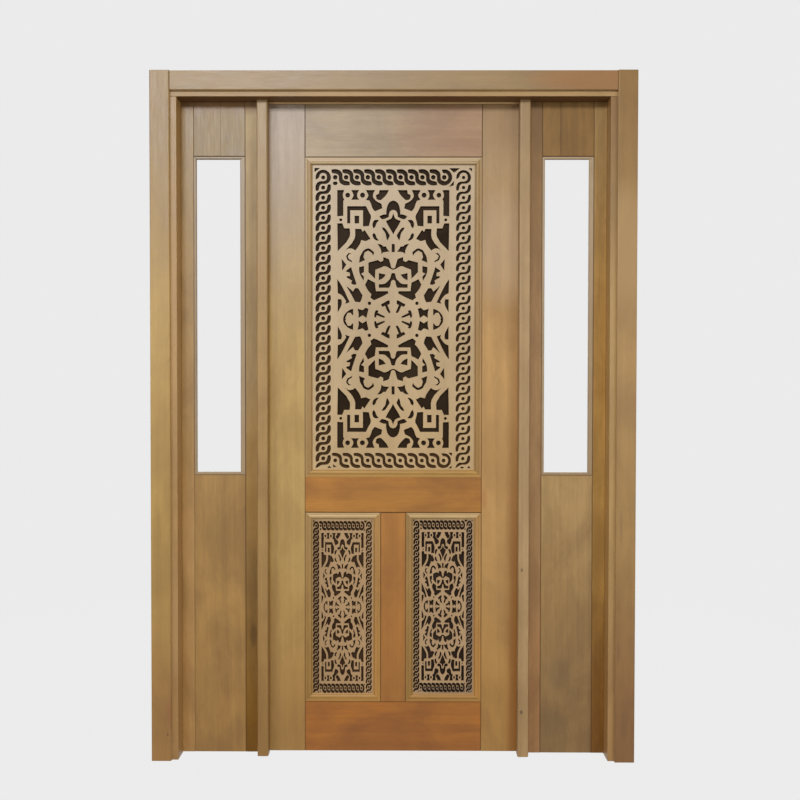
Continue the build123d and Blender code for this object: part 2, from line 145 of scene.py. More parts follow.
def wood(name, foot, crown, along, shift, joints=(), contrast=1.0, figure=0.5, end_grain_and_painted_light=None, blotch=1.0,
         painted_shade=(), marks_and_painted_light=(), waist=None, gloss=usual_gloss):
    """Varnished wood: tone from foot to crown, grain, pores, side faces of their own tone, painted shade near a
    post, spots and dark joints. The side faces' tone is partly end grain and partly painted light and shade;
    some spots are painted shade, some painted sheen.
    """
    f = Finish(name)
    stretch = {"X": (0.035, 1, 1), "Z": (1, 1, 0.035)}[along]
    long_stretch = {"X": (0.012, 1, 1), "Z": (1, 1, 0.012)}[along]
    offset = (shift * 1.37, shift * 0.61, shift * 2.11)
    grain = f.place(stretch, offset)
    long_grain = f.place(long_stretch, offset)
    patch = f.place({"X": (0.5, 1, 1), "Z": (1, 1, 0.5)}[along], offset)

    streaks = f.noise(long_grain, 34, 3, 0.55, 0.6)
    bands = f.noise(grain, 95, 3, 0.6, 0.8)
    fibres = f.noise(grain, 420, 2, 0.6)
    pores = f.spread(f.noise(grain, 900, 1, 0.5), 0.60, 0.74)
    mottle = f.noise(patch, 8.5, 4, 0.6, 0.5)

    # Flat-sawn figure: rings round a core that leans a little away from the board
    lean = {"X": (0, radians(90), 0.035), "Z": (0.03, 0.022, 0)}[along]
    core = f.place((1, 1, 1), (0.07 + 0.05 * sin(shift * 5), 0.11, 0), lean)
    rings = f.add("ShaderNodeTexWave", wave_type="RINGS", rings_direction="Z", wave_profile="SAW")
    f.put(core, rings.inputs["Vector"])
    for key, value in (("Scale", 9.0), ("Distortion", 3.2), ("Detail", 2.0), ("Detail Scale", 1.3)):
        f.put(value, rings.inputs[key])
    ring = rings.outputs["Fac"]

    if waist:
        colour = f.blend(f.spread(f.axis("Z"), *foot_to_waist), tone(foot), tone(waist))
        colour = f.blend(f.spread(f.axis("Z"), *waist_to_crown), colour, tone(crown))
    else:
        colour = f.blend(f.spread(f.axis("Z"), *foot_to_crown, kind="LINEAR"), tone(foot), tone(crown))
    light = f.sum("MULTIPLY", ring, 0.22 * figure)
    for layer, share in ((fibres, 0.17), (bands, 0.26), (streaks, 0.50)):
        light = f.sum("MULTIPLY_ADD", layer, share, light)
    level = f.spread(light, 0.30, 0.85, 1 - 0.20 * contrast, 1 + 0.16 * contrast, "LINEAR")
    level = f.sum("MULTIPLY", level, f.spread(mottle, 0.28, 0.72, 1 - 0.09 * blotch, 1 + 0.07 * blotch))
    level = f.sum("MULTIPLY", level, f.sum("SUBTRACT", 1.0, f.sum("MULTIPLY", pores, 0.10)))
    seam = None
    for letter, place, share in joints:
        away = f.sum("ABSOLUTE", f.sum("SUBTRACT", f.axis(letter), place))
        line = f.spread(away, seam_core, seam_fade, share, 0.0)
        seam = line if seam is None else f.sum("MAXIMUM", seam, line)
    if seam is not None:
        seam = f.sum("MULTIPLY", seam, f.spread(f.axis("Y"), seam_front, seam_back, 1.0, 0.0))
    # Darker grain is also richer in colour
    depth_of_tone = f.add("ShaderNodeCombineColor")
    for socket, power in zip(depth_of_tone.inputs, (1.0, 1.15, 1.45)):
        f.put(f.sum("POWER", level, power), socket)
    colour = f.blend(1.0, colour, depth_of_tone.outputs[0], "MULTIPLY")
    warmth = f.spread(f.noise(patch, 3.1, 2, 0.5, 0.2), 0.35, 0.68, 0.0, 0.32 * contrast)
    colour = f.blend(warmth, colour, f.blend(1.0, colour, tone(warm_tone), "MULTIPLY"))
    # Faces that don't look to the front take another tone: painted light and shade, and on the fretwork also
    # its darker end grain
    if end_grain_and_painted_light:
        facing = f.add("ShaderNodeSeparateXYZ")
        f.put(f.normal, facing.inputs[0])
        wall = f.spread(f.sum("ABSOLUTE", facing.outputs["Y"]), 0.25, 0.80, end_grain_and_painted_light[0], 0.0)
        colour = f.blend(wall, colour, tone(end_grain_and_painted_light[1]))
    # Painted shade beside a post, fading towards the top
    for letter, place, reach, depth in painted_shade:
        away = f.sum("ABSOLUTE", f.sum("SUBTRACT", f.axis(letter), place))
        lower = f.spread(f.axis("Z"), *painted_shade_heights, depth, 0.1 * depth)
        near = f.spread(away, 0.0, reach * mm, 1.0, 0.0)
        colour = f.blend(f.sum("MULTIPLY", near, lower), colour, tone(painted_shade_tone))
    for x, z, across, up, share, spot_tone in marks_and_painted_light:
        off_x = f.sum("DIVIDE", f.sum("SUBTRACT", f.axis("X"), x), across * mm)
        off_z = f.sum("DIVIDE", f.sum("SUBTRACT", f.axis("Z"), z), up * mm)
        away = f.sum("MULTIPLY_ADD", off_x, off_x, f.sum("MULTIPLY", off_z, off_z))
        colour = f.blend(f.spread(away, 0.05, 1.0, share, 0.0), colour, tone(spot_tone))
    if seam is not None:
        colour = f.blend(seam, colour, tone(seam_tone))
    rough = f.spread(f.sum("MULTIPLY_ADD", fibres, 0.6, f.sum("MULTIPLY", mottle, 0.4)), 0.3, 0.7, 0.40, 0.53)
    f.bump(f.sum("SUBTRACT", f.sum("MULTIPLY_ADD", bands, 0.5, fibres), pores), 0.16, 0.25 * mm)
    if seam is not None:
        gloss = f.spread(seam, 0.0, 1.0, gloss, 0.1)
    return f.set(Base_Color=colour, Roughness=rough, Specular_IOR_Level=gloss,
                 Coat_Weight=0.12, Coat_Roughness=0.42)


def clear_pane():
    f = Finish("clear_glass")
    sheen = f.noise(f.where, 5, 2, 0.5)
    return f.set(Base_Color=tone("FFFFFF"), Roughness=f.spread(sheen, 0.3, 0.7, 0.0, 0.008),
                 Transmission_Weight=1.0, IOR=1.45)


def dark_pane(name, deep, pale, rim=None):
    """Dark glass. A rim is painted paler towards its foot: painted light where light reaches behind the
    border's slots.
    """
    f = Finish(name)
    cloud = f.noise(f.where, 7, 3, 0.55, 0.4)
    colour = f.blend(f.spread(cloud, 0.3, 0.7), tone(deep), tone(pale))
    if rim:
        x, front, z, across, up, rim_tone = rim
        off_x = f.sum("DIVIDE", f.sum("ABSOLUTE", f.sum("SUBTRACT", f.axis("X"), x)), across)
        off_z = f.sum("DIVIDE", f.sum("ABSOLUTE", f.sum("SUBTRACT", f.axis("Z"), z)), up)
        outside = f.spread(f.sum("MAXIMUM", off_x, off_z), 0.97, 1.03)
        on_front = f.spread(f.axis("Y"), front + 0.5 * mm, front + 1.5 * mm, 1.0, 0.0)
        outside = f.sum("MULTIPLY", outside, on_front)
        lower = f.spread(f.axis("Z"), z - up, z + up, 1.0, 0.0)
        colour = f.blend(f.sum("MULTIPLY", outside, lower), colour, tone(rim_tone))
    return f.set(Base_Color=colour, Roughness=f.spread(cloud, 0.3, 0.7, 0.28, 0.42), Specular_IOR_Level=0.04)


def brass():
    f = Finish("hinge_metal")
    brushed = f.noise(f.place((1, 1, 0.05)), 1600, 2, 0.6)
    cloud = f.noise(f.where, 60, 3, 0.6, 0.5)
    colour = f.blend(f.spread(cloud, 0.3, 0.75), tone("8F7440"), tone("BFA266"))
    f.bump(brushed, 0.08, 0.1 * mm)
    return f.set(Base_Color=colour, Roughness=f.spread(brushed, 0.3, 0.7, 0.26, 0.42), Metallic=1.0)


def finish_node(name, material):
    mesh = nodes[name].data
    mesh.materials.clear()
    mesh.materials.append(material)


def ease_edges(name, width):
    """Eases a board's arrises so that joints show as fine grooves."""
    weld = nodes[name].modifiers.new("weld", "WELD")
    weld.merge_threshold = 0.01 * mm
    bevel = nodes[name].modifiers.new("ease", "BEVEL")
    bevel.width, bevel.segments, bevel.limit_method = width, 2, "ANGLE"
    bevel.angle_limit = radians(30)


# New pieces

def push(bm, rim, by):
    """A closed block: a flat face with this rim, pushed along."""
    face = bm.faces.new([bm.verts.new(at) for at in rim])
    pushed = bmesh.ops.extrude_face_region(bm, geom=[face])
    bmesh.ops.translate(bm, vec=by, verts=[v for v in pushed["geom"] if isinstance(v, bmesh.types.BMVert)])


def keep(bm, name, body, material, replaced, smooth=None):
    """Turns a finished bmesh into a piece that rides on a body and stands for CAD nodes."""
    bmesh.ops.remove_doubles(bm, verts=bm.verts, dist=0.002 * mm)
    bmesh.ops.recalc_face_normals(bm, faces=bm.faces)
    mesh = bpy.data.meshes.new(name)
    bm.to_mesh(mesh)
    bm.free()
    if smooth:
        mesh.polygons.foreach_set("use_smooth", [True] * len(mesh.polygons))
        mesh.set_sharp_from_angle(angle=radians(smooth))
    mesh.materials.append(material)
    piece = bpy.data.objects.new(name, mesh)
    bpy.context.scene.collection.objects.link(piece)
    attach(piece, body)
    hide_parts(*replaced)


# Section of a moulding in millimetres: distance inwards from the opening's edge, depth from the leaf's face
moulding_section = [(0, 0.7), (7.6, 0.7), (8.4, 1.7), (9.2, 1.3), (10.6, 0.4), (12.4, 0.1), (15.5, 0.15),
                    (17.6, 0.8), (19.2, 2.1), (20.3, 3.9), (20.9, 5.2), (21.4, 5.6), (23, 5.9), (23.7, 6.4),
                    (24, 7), (24, 8), (0, 8)]
# The bar over the upper opening has a broader flat
broad_section = [(0, 0.3), (14, 0.3), (14.8, 1.4), (15.6, 0.9), (17, 0.3), (18.6, 0.3), (20, 0.9),
                 (21.4, 2.2), (22.5, 4.2), (23.2, 5.8), (24, 6.4), (24, 8), (0, 8)]


def moulding(name, opening, side, material):
    """One mitred bar of a moulding, pushed out of its section and cut at both ends."""
    node = f"{opening}_moulding_{side}"
    low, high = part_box(node)
    centre = (low + high) / 2
    length = max(high.x - low.x, high.z - low.z)
    bm = bmesh.new()
    outline = broad_section if (opening, side) == ("upper", "top") else moulding_section
    push(bm, [(-length / 2, depth * mm, inwards * mm) for inwards, depth in outline], (length, 0, 0))
    # A hair's breadth stays open at each mitre
    hair = 0.12 * mm
    for end in (-1, 1):
        cut = bmesh.ops.bisect_plane(bm, geom=bm.verts[:] + bm.edges[:] + bm.faces[:], dist=1e-7,
                                     plane_co=(end * (length / 2 - hair), 0, 0), plane_no=(end, 0, 1),
                                     clear_outer=True)
        edges = [e for e in cut["geom_cut"] if isinstance(e, bmesh.types.BMEdge)]
        bmesh.ops.holes_fill(bm, edges=edges, sides=0)
    turn = {"bottom": 0, "top": 180, "left": 90, "right": -90}[side]
    seat = {"bottom": (centre.x, low.z), "top": (centre.x, high.z), "left": (low.x, centre.z),
            "right": (high.x, centre.z)}[side]
    place = Matrix.Translation((seat[0], low.y, seat[1])) @ Matrix.Rotation(radians(turn), 4, "Y")
    bmesh.ops.transform(bm, matrix=place, verts=bm.verts)
    keep(bm, name, "leaf", material, [node], smooth=35)


# The fretwork is drawn on squared paper: 81 squares from its centre to either side, 151 up and down.
half_across, half_up = 81.0, 151.0
# The border's width, the middles of its columns and rows, their first and last rings
border = 16.2
column_x, row_z = 70.8, 141.2
column_from, column_to, column_rings = 141.0, -139.2, 29
row_from, row_to, row_rings = -58.6, 51.3, 11
# Radii that a wrapping slot follows on its inside and on its outside
ring_out, band_out = 4.3, 7.8
# Turn in degrees past which a corner stays crisp: of the plate's rim, a hole, a slot and an eyelet
rim_crisp, hole_crisp, slot_crisp, eye_crisp = 20, 42, 62, 120
# Runs of a border, columns then rows: side of the window, slimming of the slots, radius of the eyelets
upper_runs = (((-1, 0.15, 2.0), (1, 0.5, 1.7)), ((-1, 0.35, 1.9), (1, -0.15, 2.3)))
lower_runs = (((-1, -0.25, 2.4), (1, -0.1, 2.3)), ((-1, -0.35, 2.4), (1, -0.35, 2.4)))

# First half of the S-shaped slot between two rings: shares of the pitch and of the border
slot_half = [(-0.31, 0.29), (-0.34, 0.46), (0, 0.49), (0.32, 0.44), (0.55, 0.32), (0.65, 0.15), (0.65, -0.02),
             (0.71, -0.145), (0.88, -0.22), (1.12, -0.25)]
# The slot below a column's last ring stops at the panel's edge
slot_foot = [(0.80, -0.24), (0.94, -0.38), (0.97, -0.49)]

# Holes of one quarter of the window, counted in squares outwards and upwards from its centre
quarter = [
    [(56.5, 128.5), (49.5, 128.5), (50.5, 126), (51, 123.5), (50.5, 121), (49.5, 119), (50.5, 118),
     (50.5, 103), (56.5, 102.5)],
    [(42.5, 128.5), (34.5, 128.5), (36, 126), (36.5, 123.5), (36, 121), (34.5, 119), (42.5, 119),
     (41, 121), (40, 123.5), (41, 126)],
    [(27.5, 128.5), (18.5, 128.5), (20, 125.5), (20.5, 122), (19, 119.5), (17, 117.5), (12, 115),
     (11, 110.5), (18.5, 107.5), (21, 110.5), (22.5, 115), (24, 118), (27.5, 119), (26, 121), (25, 123.5),
     (26, 125.5)],
    [(14, 128.5), (4.5, 128.5), (7, 124), (12.5, 118.5), (15.5, 119), (17, 120), (17.5, 123.5),
     (15.5, 124.5), (14.5, 125)],
    [(46.5, 112.5), (27.5, 112.5), (24.5, 106.5), (22.5, 102.5), (23.5, 97.5), (24.5, 93), (30.5, 92.5),
     (30.5, 108.5), (43.5, 108.5), (43.5, 95.5), (46.5, 95.5)],
    [(39, 103), (34.5, 103), (34.5, 95.5), (39, 95.5)],
    [(56.5, 95.5), (51.5, 95.5), (50.5, 93), (49.5, 90.5), (44, 90.5), (44, 82.5), (56, 68)],
    [(38.5, 90), (32.5, 90), (31, 87), (29, 89), (26, 84.5), (23, 80), (25.5, 79), (27.5, 78),
     (30.5, 78.5), (32.5, 79), (33, 76.5), (34, 74.5), (36, 71.5), (38.5, 68.5), (40.5, 70), (45, 70.5),
     (48.5, 68.5), (39, 80.5)],
    [(14.5, 98.5), (17, 99), (19, 98.5), (20.5, 96.5), (21, 94), (20, 90.5), (18, 92.5), (17, 95.5)],
    [(20, 86), (21, 84), (20, 81), (18.5, 79.5), (16.5, 78.5), (14.5, 78.5), (17, 81.5), (18, 84.5)],
    [(11.5, 91.5), (9, 91), (7, 89), (5, 86), (3.5, 83.5), (4.5, 81), (6, 78.5), (7, 81.5), (8, 86),
     (10, 88.5)],
    [(16, 75), (12.5, 74.5), (11, 73.5), (10, 72.5), (7.5, 72.5), (6, 70), (4, 67.5), (8.5, 67),
     (10.5, 66.5), (12, 65), (12, 67), (12.5, 69.5), (14, 72.5)],
    [(34.5, 56.5), (34, 59.5), (33.5, 62.5), (31.5, 66), (30, 68.5), (27.5, 70), (24.5, 70.5), (22, 69),
     (19.5, 67), (19.5, 65.5), (20.5, 63.5), (21, 65), (23, 67), (25.5, 68.5), (29, 66.5), (29.5, 64.5),
     (30, 62), (28.5, 59)],
    [(42, 65.5), (45, 66), (46.5, 64.5), (47.5, 63), (47, 61), (46, 59), (44, 58), (41.5, 56.5),
     (42, 58.5), (44, 59.5), (45, 60.5), (46, 63), (44, 65)],
    [(52, 60), (47.5, 54.5), (51.5, 48.5)],
    [(42.5, 52), (41.5, 48.5), (37, 35), (40, 34.5), (42.5, 36), (42, 37.5), (41.5, 38.5), (44, 40),
     (47.5, 42), (46.5, 43), (43.5, 43), (44, 46.5), (47.5, 47.5), (47.5, 48.5)],
    [(34.5, 52), (29.5, 53), (29.5, 47), (32.5, 45.5), (29.5, 42.5), (30, 38.5), (34, 46)],
    [(14.5, 46), (7.5, 44.5), (10.5, 41), (14.5, 39)],
    [(25.5, 40), (18.5, 36.5), (17.5, 28), (5.5, 28), (5, 26), (12.5, 22), (19.5, 19), (23, 21.5),
     (22, 25), (25.5, 29), (28.5, 34.5)],
    [(56.5, 40), (53, 35), (44, 17), (48.5, 15.5), (47.5, 18), (52, 24), (56, 26)],
    [(56, 20), (52.5, 20), (52, 15.5), (56, 7)],
    [(47.5, 33.5), (40.5, 27.5), (39.5, 29.5), (38.5, 31), (35.5, 31), (33, 27), (31, 24), (32, 20),
     (33.5, 17), (38.5, 17.5), (42.5, 25)],
    [(36, 10.5), (31, 9), (28, 11.5), (25, 10.5), (26, 6), (27, 1.5), (31, 4), (35, 1.5), (35, 6)],
    [(12.1, 15.3), (9.8, 16.2), (5.5, 18.6), (3.6, 18.9), (3.6, 15.3), (5.8, 14.3), (2.7, 7), (3.6, 6.1),
     (4.8, 6.7), (8.2, 13.6), (10.5, 12.4), (12.1, 13.9)],
    [(17.2, 9.2), (14.8, 8.4), (15.8, 6.5), (8.6, 2.9), (8.6, 1.7), (9.6, 1.7), (16.7, 4.1), (17.4, 1.7),
     (19, 2.2), (19, 4.8), (18.2, 7.7)],
]
# Right halves of holes on the upright axis, and the upper half of one on the level axis
on_upright = [
    [(0, 118), (3, 117), (5.5, 114), (6.5, 110.5), (7, 108), (7, 104.5), (10.5, 104), (14, 102.5),
     (12.5, 100.5), (11, 99.5), (7.5, 100.5), (4.5, 102), (4, 106), (2.5, 108), (0, 109)],
    [(0, 105.5), (1, 102.5), (2, 100.5), (4.5, 99), (7.5, 98), (6, 95), (4, 91.5), (1.5, 87.5), (0, 84.5)],
    [(1.5, 75), (1.5, 67)],
    [(0, 50.5), (2, 51.5), (3, 55.5), (4.5, 60), (10, 62), (10, 58.5), (12.5, 57), (15.5, 59), (25, 56.5),
     (25, 47), (21.5, 43.5), (18.5, 40.5), (18, 49.5), (12.5, 51.5), (8.5, 53), (5.5, 52), (3, 50.5),
     (0, 49.5)],
    [(0, 46), (1.5, 46), (2, 44.5), (3.5, 40), (5.5, 38), (8.5, 35.5), (14.5, 35), (14.5, 31.5),
     (4.5, 31.5), (3.5, 32.5), (2.5, 35.5), (2, 38), (0, 39.5)],
]
on_level = [[(50.5, 0), (50, 3), (48.5, 5.5), (46, 8), (43.5, 9.5), (40.5, 10.5), (40.5, 4), (41.5, 4.5),
             (43, 6.5), (46, 6.5), (47.5, 3.5), (48.5, 1), (47.5, 0)]]
# Round holes of one quarter: centre and radius
rounds = [((46, 123.5), 2.4), ((31, 123.5), 2.5), ((53, 99), 1.45), ((24, 16), 1.7)]
# Small holes that fill the border's corners
fillers = [
    [(-79.5, 150.4), (-74, 150.4), (-79.5, 146.4)],
    [(75.7, 150.2), (79.3, 150.2), (79.3, 147.1)],
    [(56.4, 150.2), (67, 150.2), (61.2, 145.8)],
    [(61.2, 137.6), (60.8, 133.2), (56.2, 131.9)],
    [(56.2, -133.3), (60, -133.4), (59.4, -136.6)],
    [(56.4, -149), (59.4, -146.2), (59.4, -149)],
    [(-61.1, 135.3), (-60, 136.9), (-57.2, 136.9), (-56, 135.3), (-57.4, 133.5), (-60, 133.5)],
    [(-64.6, -146.4), (-62.7, -148.8), (-66.4, -148.8)],
    [(-60.8, -144.9), (-57.2, -147.9), (-60.8, -147.9)],
    [(77, -146.4), (78.6, -148.8), (75.2, -148.8)],
    [(68.6, -147.4), (71.6, -147.4), (71.6, -149), (68.6, -149)],
]


def on_ring(centre, radius, turns):
    """Points round a centre at these turns, in degrees."""
    return [(centre[0] + radius * cos(radians(t)), centre[1] + radius * sin(radians(t))) for t in turns]


def slimmer(points, by):
    """A closed outline drawn in by a little."""
    after = points[1:] + points[:1]
    inwards = 1 if sum(a[0] * b[1] - b[0] * a[1] for a, b in zip(points, after)) > 0 else -1
    drawn = []
    for k, at in enumerate(points):
        along = (Vector(after[k]) - Vector(points[k - 1])).normalized()
        drawn.append((at[0] - along.y * inwards * by, at[1] + along.x * inwards * by))
    return drawn


def border_outlines(columns, rows):
    """Eyelets and slots of the two columns and the two rows; the end slots wrap round the last ring."""
    slot = slot_half + [(1 - a, -b) for a, b in slot_half]
    eyes, slots = [], []
    pitch = (column_to - column_from) / (column_rings - 1)
    for side, slim, eye in columns:
        x = side * column_x
        for k in range(column_rings):
            z = column_from + k * pitch
            eyes.append(((x, z), eye))
            last = k + 1 == column_rings
            shape = slot[:8] + slot_foot + slot[13:] if last else slot
            run = [(x + b * border, z + a * pitch) for a, b in shape]
            if k == 0:
                run = (on_ring((x, z), band_out, (196, 165, 130, 90, 50, 20)) + run[2:-1]
                       + on_ring((x, z), ring_out, (55, 90, 130, 184)))
            slots.append(slimmer(run, slim))
    pitch = (row_to - row_from) / (row_rings - 1)
    for side, slim, eye in rows:
        z = side * row_z
        for k in range(row_rings):
            x = row_from + k * pitch
            eyes.append(((x, z), eye))
            if k + 1 < row_rings:
                run = [(x + a * pitch, z + b * border) for a, b in slot]
                if k + 2 == row_rings:
                    end = (x + pitch, z)
                    run = (run[:10] + on_ring(end, ring_out, (-55, -15, 25, 65, 100))
                           + on_ring(end, band_out, (108, 70, 35, 0, -35, -65)) + run[12:])
                slots.append(slimmer(run, slim))
    return eyes, slots


def window_outlines(swell):
    """Eyelets and holes of the whole window, from one quarter and from the halves on its axes."""
    eyes, holes = [], []
    for sx in (1, -1):
        for sz in (1, -1):
            holes += [[(sx * x, sz * z) for x, z in hole] for hole in quarter]
            eyes += [((sx * c[0], sz * c[1]), r) for c, r in rounds]
    for half in on_upright:
        whole = half + [(-x, z) for x, z in reversed(half) if x > 0]
        holes += [[(x, sz * z) for x, z in whole] for sz in (1, -1)]
    for half in on_level:
        whole = half + [(x, -z) for x, z in reversed(half) if z > 0]
        holes += [[(sx * x, z) for x, z in whole] for sx in (1, -1)]
    return eyes, [slimmer(hole, -swell) for hole in holes]


def draw(curve, points, sharp):
    """A closed line through the points: corners that turn by more than sharp degrees stay crisp."""
    spline = curve.splines.new("BEZIER")
    spline.bezier_points.add(len(points) - 1)
    spline.use_cyclic_u = True
    for k, (point, at) in enumerate(zip(spline.bezier_points, points)):
        before, after = Vector(points[k - 1]), Vector(points[(k + 1) % len(points)])
        here = Vector(at)
        turned = degrees((here - before).angle(after - here, 0.0))
        point.co = (at[0], at[1], 0)
        point.handle_left_type = point.handle_right_type = "VECTOR" if turned > sharp else "AUTO"


def fretwork(opening, material, smoothness, settle, trim, runs, swell):
    """The pierced plate of one opening, cut from a filled drawing."""
    node = f"{opening}_fretwork"
    low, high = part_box(node)
    inner = [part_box(f"{opening}_moulding_{side}") for side in ("left", "right", "bottom", "top")]
    left, right, bottom, top = inner[0][1].x, inner[1][0].x, inner[2][1].z, inner[3][0].z
    centre = Vector(((left + right) / 2, (bottom + top) / 2))
    square = (((right - left) / 2 - trim.x) / half_across, ((top - bottom) / 2 - trim.y) / half_up)
    thickness, ease = high.y - low.y, 0.35 * mm

    curve = bpy.data.curves.new(node + "_drawing", "CURVE")
    curve.dimensions, curve.fill_mode = "2D", "BOTH"
    curve.resolution_u = smoothness
    curve.extrude, curve.bevel_depth, curve.bevel_resolution = thickness / 2 - ease, ease, 0
    curve.offset = -ease
    rim = [(low.x, low.z), (high.x, low.z), (high.x, high.z), (low.x, high.z)]
    draw(curve, [(x - centre.x, z - centre.y) for x, z in rim], rim_crisp)
    border_eyes, slots = border_outlines(*runs)
    window_eyes, holes = window_outlines(swell)

    def scaled(points):
        return [(x * square[0] + settle.x, z * square[1] + settle.y) for x, z in points]

    for hole in holes + fillers:
        draw(curve, scaled(hole), hole_crisp)
    for hole in slots:
        draw(curve, scaled(hole), slot_crisp)
    for at, radius in border_eyes + window_eyes:
        draw(curve, scaled(on_ring(at, radius, (0, 90, 180, 270))), eye_crisp)
    drawing = bpy.data.objects.new(node + "_drawing", curve)
    bpy.context.scene.collection.objects.link(drawing)
    bpy.context.view_layer.update()
    flat = bpy.data.meshes.new_from_object(drawing.evaluated_get(bpy.context.evaluated_depsgraph_get()))
    bm = bmesh.new()
    bm.from_mesh(flat)
    bpy.data.objects.remove(drawing)
    bpy.data.meshes.remove(flat)
    middle = Matrix.Translation((centre.x, (low.y + high.y) / 2, centre.y))
    bmesh.ops.transform(bm, matrix=middle @ Matrix.Rotation(radians(90), 4, "X"), verts=bm.verts)
    keep(bm, f"{opening}_pierced_panel", "leaf", material, [node], smooth=40)


# Finishes of the CAD boards

def face_edges(opening):
    """Edges of an opening in the leaf, read from its mouldings: left, right, bottom, top."""
    boxes = {side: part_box(f"{opening}_moulding_{side}") for side in ("left", "right", "bottom", "top")}
    return boxes["left"][0].x, boxes["right"][1].x, boxes["bottom"][0].z, boxes["top"][1].z


leaf_left, leaf_right, upper_bottom, upper_top = face_edges("upper")
lower_left, muntin_left, lower_bottom, lower_top = face_edges("lower_left")
muntin_right = face_edges("lower_right")[0]
casing_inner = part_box("casing_right")[0].x
post_right_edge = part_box("post_right")[0].x

# Tone at foot and crown, way of the grain, shift of its pattern, joints as axis, place and strength. The change
# with height partly paints light: greyer crowns stand for sheen on the varnish, and the darker crowns at the
# upper right are painted shade
boards = {
    "casing_left": ("966E38", "886B38", "Z", 1.0, []),
    "casing_right": ("7C562B", "7E5C24", "Z", 2.0, []),
    "casing_head": ("8A6F43", "8A6F43", "X", 3.0, [("X", -casing_inner, 0.75), ("X", casing_inner, 0.5)]),
    "jamb_left": ("A07844", "96733A", "Z", 4.0, []),
    "jamb_right": ("9E7746", "7E5C2A", "Z", 5.0, []),
    "jamb_head": ("A28254", "A28254", "X", 6.0, []),
    # The head stop is paler than the jamb head: a painted highlight on its lit front edge
    "head_stop": ("C9A873", "C9A873", "X", 7.0, []),
    "post_left": ("966F36", "8C7045", "Z", 8.0, []),
    "post_right": ("A68559", "97794E", "Z", 9.0, []),
    "leaf_hinge_stile": ("9E773C", "998674", "Z", 10.0, [("X", leaf_left, 0.55)]),
    "leaf_closing_stile": ("A67C3E", "9A7E54", "Z", 11.0, [("X", leaf_right, 0.55)]),
    "leaf_top_rail": ("947E5F", "947E5F", "X", 12.0,
                      [("X", leaf_left, 0.9), ("X", leaf_right, 0.8), ("Z", upper_top, 0.95)]),
    "leaf_middle_rail": ("A26B1E", "A26B1E", "X", 13.0,
                         [("X", leaf_left, 0.4), ("X", leaf_right, 0.5), ("Z", lower_top, 0.85)]),
    "leaf_bottom_rail": ("9C5F18", "9C5F18", "X", 14.0,
                         [("X", leaf_left, 0.4), ("X", leaf_right, 0.5), ("Z", lower_bottom, 0.6)]),
    "leaf_muntin": ("9C6626", "B87C2C", "Z", 15.0,
                    [("X", muntin_left, 0.8), ("X", muntin_right, 0.8), ("Z", lower_top, 0.85)]),
}
sidelight_tones = {
    "left": {"outer_stile": ("AF844A", "947848"), "inner_stile": ("7C5510", "A28C66"),
             "top_rail": ("7E642E", "7E642E"), "panel": ("9D753A", "9D793C")},
    "right": {"outer_stile": ("7E5319", "9C7C4A"), "inner_stile": ("9A7046", "76562A"),
              "top_rail": ("846434", "846434"), "panel": ("866638", "C4A268")},
}
for side, shift in (("left", 20.0), ("right", 30.0)):
    name = f"sidelight_{side}"
    left, right = sorted((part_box(f"{name}_bead_outer"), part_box(f"{name}_bead_inner")), key=lambda b: b[0].x)
    faint = 0.25 if side == "left" else 0.5
    edges = [("X", left[0].x, faint), ("X", right[1].x, 0.5)]
    window_top, window_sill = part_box(f"{name}_bead_top")[1].z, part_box(f"{name}_bead_bottom")[0].z
    glue_line = {"left": -0.557, "right": 0.537}[side]
    across = {"top_rail": [("Z", window_top, 0.9), ("X", glue_line, 0.4)], "panel": [("Z", window_sill, 0.5)]}
    for step, (part, (foot, crown)) in enumerate(sidelight_tones[side].items()):
        boards[f"{name}_{part}"] = (foot, crown, "Z", shift + step, edges + across.get(part, []))

# Painted shade of a post on the leaf, darkest low down: axis, place, reach in millimetres and strength
painted_post_shade = {"leaf_closing_stile": [("X", post_right_edge, 48, 0.95)]}
# Painted light and shade on faces that don't look to the front, as strength and tone: the sides of the casing
# and the jambs are painted lighter, the head's soffit is painted darker
painted_side_light = {"casing_left": (0.5, "E0BC80"), "casing_right": (0.5, "D0AC74"), "casing_head": (0.85, "E8C898"),
          "jamb_left": (0.45, "C79A5E"), "jamb_right": (0.45, "C79A5E"), "jamb_head": (0.6, "5A2606")}
# Tone at the middle of a board's height
waists = {"casing_left": "AC8946", "casing_right": "9B7741", "jamb_left": "A57F49", "jamb_right": "AD8C56",
          "post_left": "9C7A43", "post_right": "AB8C61",
          "leaf_hinge_stile": "B29152", "leaf_closing_stile": "B2894F",
          "sidelight_right_outer_stile": "AC8444", "sidelight_right_inner_stile": "98744A"}
